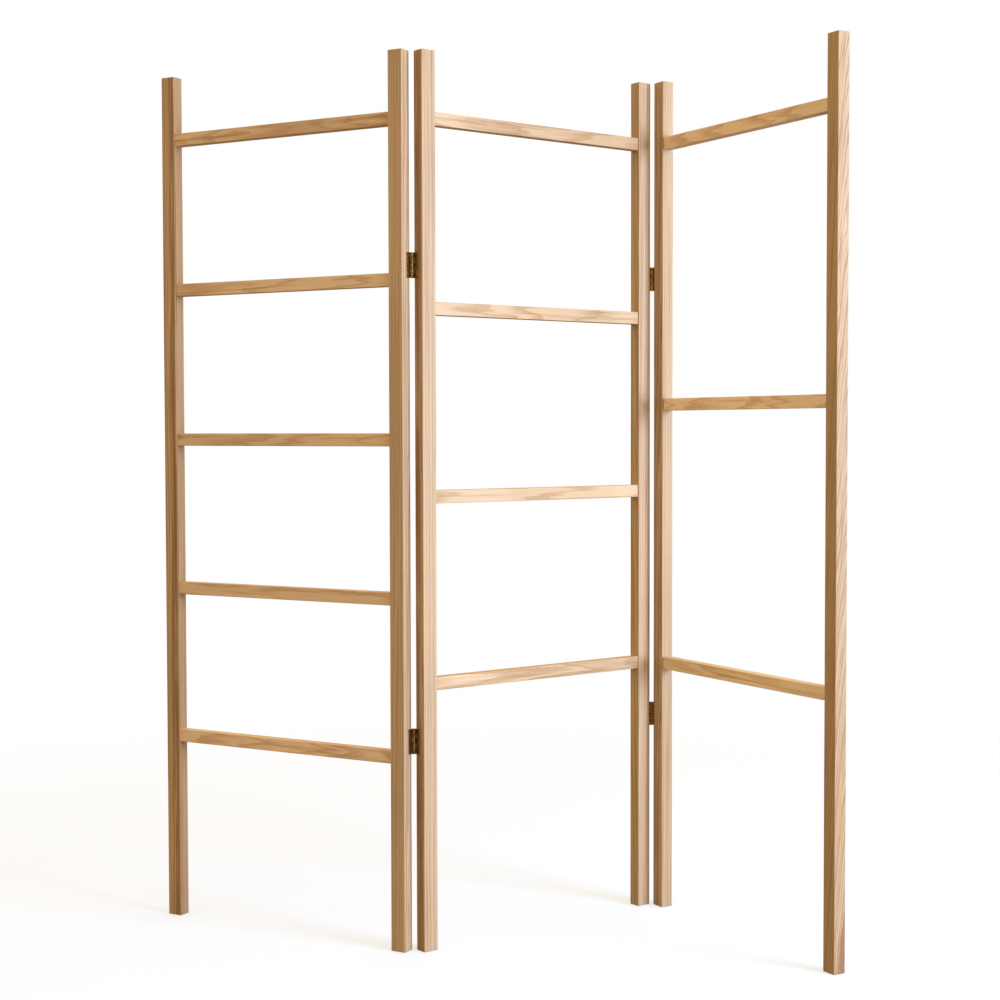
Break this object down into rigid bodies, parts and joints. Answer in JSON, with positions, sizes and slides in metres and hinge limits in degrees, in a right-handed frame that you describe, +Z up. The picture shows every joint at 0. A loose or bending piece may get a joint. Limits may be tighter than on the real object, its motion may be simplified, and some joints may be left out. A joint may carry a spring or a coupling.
{
  "type": "folding ladder drying rack",
  "caption": "Free-standing folding clothes rack: hinged ladder-like wooden panels that stand on the floor in a zigzag, with flat rungs to hang laundry over.",
  "frame": {"origin": "on the floor, under the middle of the rack's bounding box as it stands in its zigzag", "axes": "+Z up; X runs along the middle panel, from the left panel's end to the right panel's; the middle panel's front looks along -Y"},
  "size_m": [0.8572, 1.14, 1.7],
  "materials": {
    "post": "planed pale ash, oiled, satin",
    "rung": "planed pale ash, oiled, satin",
    "leaf": "aged, dull",
    "pin": "aged, dull",
    "screw": "aged, dull"
  },
  "bodies": {
    "middle_panel": {"left_hinge_lower_fixed_leaf": "leaf", "left_hinge_lower_fixed_screw_1": "screw", "left_hinge_lower_fixed_screw_2": "screw", "left_hinge_lower_pin": "pin", "left_hinge_upper_fixed_leaf": "leaf", "left_hinge_upper_fixed_screw_1": "screw", "left_hinge_upper_fixed_screw_2": "screw", "left_hinge_upper_pin": "pin", "middle_panel_left_post": "post", "middle_panel_right_post": "post", "middle_panel_rung_1": "rung", "middle_panel_rung_2": "rung", "middle_panel_rung_3": "rung", "middle_panel_rung_4": "rung", "right_hinge_lower_fixed_leaf": "leaf", "right_hinge_lower_fixed_screw_1": "screw", "right_hinge_lower_fixed_screw_2": "screw", "right_hinge_lower_pin": "pin", "right_hinge_upper_fixed_leaf": "leaf", "right_hinge_upper_fixed_screw_1": "screw", "right_hinge_upper_fixed_screw_2": "screw", "right_hinge_upper_pin": "pin"},
    "left_panel": {"left_hinge_lower_swing_leaf": "leaf", "left_hinge_lower_swing_screw_1": "screw", "left_hinge_lower_swing_screw_2": "screw", "left_hinge_upper_swing_leaf": "leaf", "left_hinge_upper_swing_screw_1": "screw", "left_hinge_upper_swing_screw_2": "screw", "left_panel_left_post": "post", "left_panel_right_post": "post", "left_panel_rung_1": "rung", "left_panel_rung_2": "rung", "left_panel_rung_3": "rung", "left_panel_rung_4": "rung", "left_panel_rung_5": "rung"},
    "right_panel": {"right_hinge_lower_swing_leaf": "leaf", "right_hinge_lower_swing_screw_1": "screw", "right_hinge_lower_swing_screw_2": "screw", "right_hinge_upper_swing_leaf": "leaf", "right_hinge_upper_swing_screw_1": "screw", "right_hinge_upper_swing_screw_2": "screw", "right_panel_left_post": "post", "right_panel_right_post": "post", "right_panel_rung_1": "rung", "right_panel_rung_2": "rung", "right_panel_rung_3": "rung"}
  },
  "joints": [
    {"name": "left_panel_fold", "type": "hinge", "parent": "middle_panel", "child": "left_panel", "pos_m": [-0.18138, 0.03572, 0.85], "axis": [0, 0, 1], "range_deg": [-112.6, 74.4]},
    {"name": "right_panel_fold", "type": "hinge", "parent": "middle_panel", "child": "right_panel", "pos_m": [0.40262, 0.00772, 0.85], "axis": [0, 0, 1], "range_deg": [-82.2, 104.8]}
  ]
}
